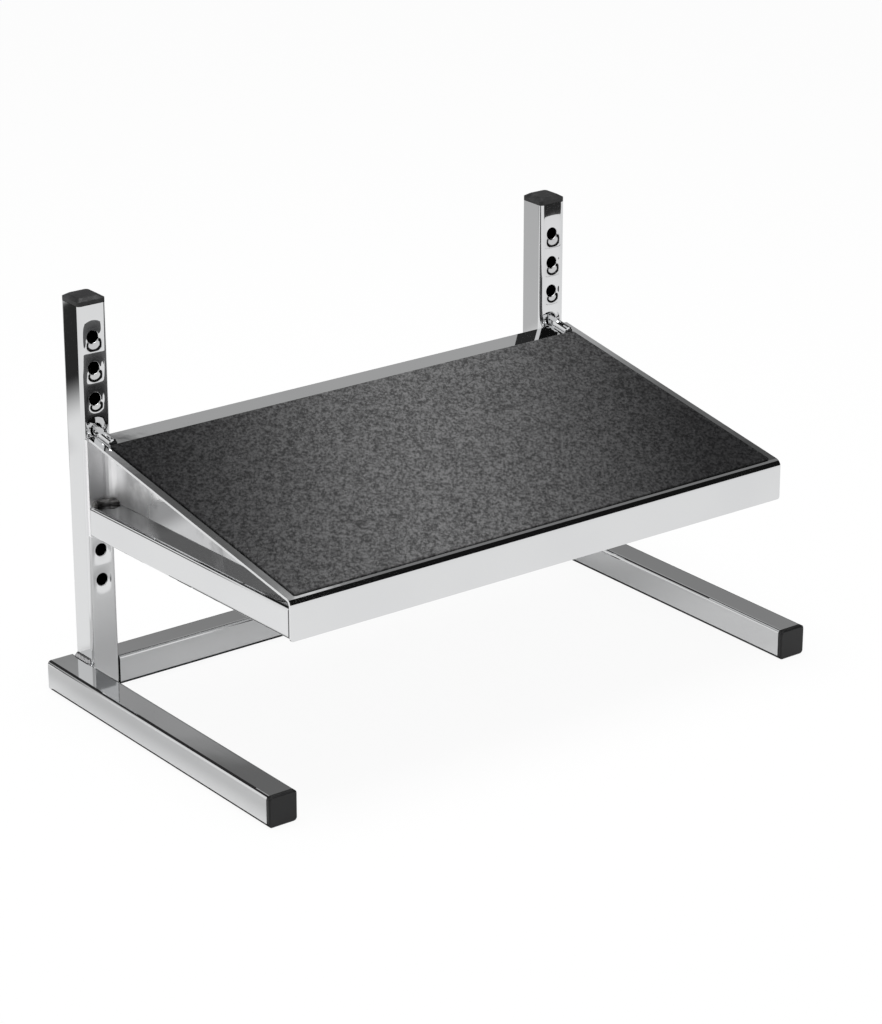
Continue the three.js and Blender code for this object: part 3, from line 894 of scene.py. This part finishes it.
def buildWorld():
    world = bpy.data.worlds.new("studio")
    bpy.context.scene.world = world
    graph = Graph(world)
    across, back, up = graph.axes(graph.wire("ShaderNodeTexCoord", "Generated"))

    def quarter(name):
        return graph.wire("ShaderNodeValToRGB", 0, {"stops": room[name]}, {0: up})

    slanted = across + back * room["slant"]
    ahead = graph.stepDown(slanted, *room["aheadEnd"])
    backRight = graph.paint(quarter("backRight"), ahead, room["aheadShade"])

    dark = graph.stepUp(across - back, *room["darkSide"])
    dark = dark * graph.stepUp(up, *room["darkFoot"]) * graph.stepDown(up, *room["darkTop"])
    backRight = graph.paint(backRight, dark * room["darkShare"], room["darkShade"])

    plain, light = room["highShades"]
    lighter = graph.stepUp(across, *room["highLighter"])
    panel = graph.paint((plain, plain, plain), lighter * lighter, light)
    high = graph.stepUp(up, *room["highFoot"]) * graph.stepDown(across, *room["highEnd"])
    backRight = graph.blend(high, backRight, panel)

    strip = graph.stepUp(across, *room["stripLeft"]) * graph.stepDown(across, *room["stripRight"])
    strip = strip * graph.stepDown(slanted, *room["stripEnd"])
    backRight = graph.paint(backRight, strip, room["stripShade"])

    low = graph.stepDown(across + back * room["lowSlant"], *room["lowEnd"])
    low = low * graph.stepDown(up, *room["lowTop"])
    backLeft = graph.paint(quarter("backLeft"), low, room["lowShade"])

    behind = graph.blend(graph.stepUp(across, *room["backMeets"]), backLeft, backRight)
    ceiling = graph.stepUp(up, *room["ceilingFoot"]) * graph.stepUp(across, *room["ceilingLeft"])
    ceiling = ceiling * graph.stepDown(across, *room["ceilingRight"])
    behind = graph.paint(behind, ceiling, room["ceilingShade"])

    toRight = graph.stepUp(across, *room["frontRightMeets"])
    before = graph.blend(toRight, quarter("frontMiddle"), quarter("frontRight"))
    before = graph.blend(graph.stepUp(across, *room["frontLeftMeets"]), quarter("frontLeft"), before)
    mirrored = graph.blend(graph.stepUp(back, *room["backHalf"]), before, behind)

    def background(colour, strength):
        return graph.wire("ShaderNodeBackground", 0, None, {"Color": colour, "Strength": strength})

    inMirror = graph.wire("ShaderNodeLightPath", "Is Glossy Ray")
    inCamera = graph.wire("ShaderNodeLightPath", "Is Camera Ray")
    shown = graph.mixShaders(inMirror, background((1, 1, 1), studio["world"]), background(mirrored, 1.0))
    shown = graph.mixShaders(inCamera, shown, background((1, 1, 1), 1.0))
    graph.node("ShaderNodeOutputWorld", None, {"Surface": shown})


def buildLamp():
    lamp = bpy.data.lights.new("key", "AREA")
    lamp.shape = "DISK"
    lamp.energy = studio["keyWatts"]
    lamp.size = studio["keySize"]
    holder = addObject("key", lamp)
    holder.location = studio["keyPlace"]
    aim = Vector(studio["keyTarget"]) - Vector(studio["keyPlace"])
    holder.rotation_euler = aim.to_track_quat("-Z", "Y").to_euler()


buildFloor()
buildWorld()
buildLamp()
print("studio built")


# Camera at the photograph's viewing angle

view = {
    "azimuth": radians(-37.11),
    "elevation": radians(21.40),
    "roll": radians(-0.07),
    "target": Vector((33.50, 30.0, 122.12)) * mm,
    "distance": 2792.11 * mm,
    "focal": 3428.18,  # in the image's own pixels
    "imageHeight": 1024,
    "sensor": 36.0,
    "sightLimit": 50,
}


def buildCamera():
    azimuth, elevation, roll = view["azimuth"], view["elevation"], view["roll"]
    back = Vector((sin(azimuth) * cos(elevation), -cos(azimuth) * cos(elevation), sin(elevation)))
    level = Vector((0, 0, 1)).cross(back).normalized()
    upright = back.cross(level)
    right = level * cos(roll) + upright * sin(roll)
    up = upright * cos(roll) - level * sin(roll)
    lens = bpy.data.cameras.new("camera")
    lens.sensor_width = view["sensor"]
    lens.lens = view["focal"] * view["sensor"] / view["imageHeight"]
    lens.clip_end = view["sightLimit"]
    camera = addObject("camera", lens)
    turn = Matrix((right, up, back)).transposed().to_4x4()
    camera.matrix_world = Matrix.Translation(view["target"] + back * view["distance"]) @ turn
    bpy.context.scene.camera = camera


buildCamera()
bpy.context.scene.view_settings.view_transform = "Standard"
print("camera placed")
